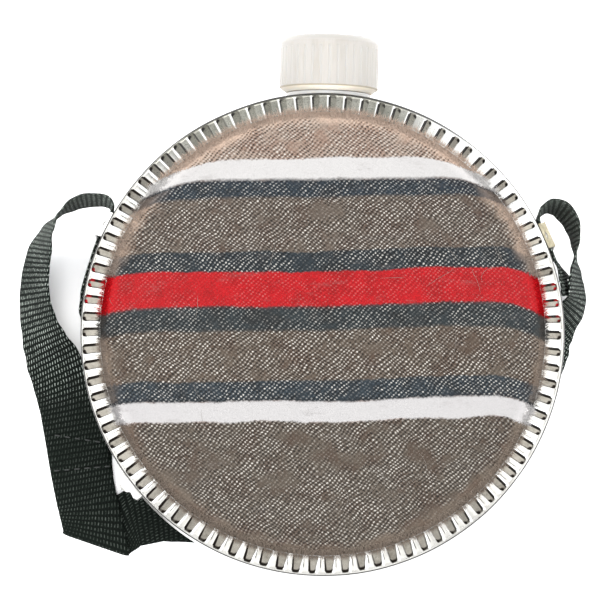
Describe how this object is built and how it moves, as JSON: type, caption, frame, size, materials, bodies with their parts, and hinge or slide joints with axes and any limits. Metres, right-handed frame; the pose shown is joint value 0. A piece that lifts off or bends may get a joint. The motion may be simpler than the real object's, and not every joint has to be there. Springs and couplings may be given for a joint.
{
  "type": "canteen",
  "caption": "Round blanket-covered water canteen with a fluted metal rim, a screw cap on a threaded neck and a webbing shoulder strap.",
  "frame": {"origin": "middle of the flat at the centre of the rear blanket, on which the canteen lies", "axes": "+Z out of the front blanket face, along the disc's axis; +Y out of the neck and cap; +X to the right seen from the front"},
  "size_m": [0.2436, 0.2285, 0.095],
  "materials": {
    "flask_plastic": "blow-moulded polyethylene",
    "collar_plastic": "moulded polyethylene",
    "cap_plastic": "moulded polypropylene, finely ribbed",
    "seal_rubber": "soft foam liner",
    "rim_tinplate": "bright tinplate, fluted edges",
    "fitting_steel": "zinc-plated pressing",
    "loop_steel": "zinc-plated strip",
    "rivet_steel": "plated rivet",
    "front_cloth": "brushed striped twill blanket",
    "rear_cloth": "brushed striped twill blanket",
    "strap_webbing": "ribbed cotton webbing",
    "stitch_thread": "sewing thread"
  },
  "bodies": {
    "canteen": {"flask": "flask_plastic", "flask_neck": "flask_plastic", "neck_collar": "collar_plastic", "rim_band": "rim_tinplate", "band_joint_clip": "fitting_steel", "band_joint_rivets": "rivet_steel", "front_blanket": "front_cloth", "rear_blanket": "rear_cloth", "strap_loop_left": "loop_steel", "strap_loop_right": "loop_steel", "loop_rivets_left": "rivet_steel", "loop_rivets_right": "rivet_steel", "shoulder_strap": "strap_webbing", "strap_stitching_left": "stitch_thread", "strap_stitching_right": "stitch_thread"},
    "seal": {"cap_seal": "seal_rubber"},
    "cap": {"cap": "cap_plastic"}
  },
  "joints": [
    {"name": "cap_lift", "type": "slide", "parent": "canteen", "child": "seal", "axis": [0, 1, 0], "range_m": [0, 0.00635]},
    {"name": "cap_turn", "type": "hinge", "parent": "seal", "child": "cap", "pos_m": [0, 0.115, 0.0469], "axis": [0, 1, 0], "range_deg": [0, 540]}
  ],
  "couplings": [
    {"joint": "cap_lift", "follows": "cap_turn", "m_per_rad": 0.00067323}
  ]
}
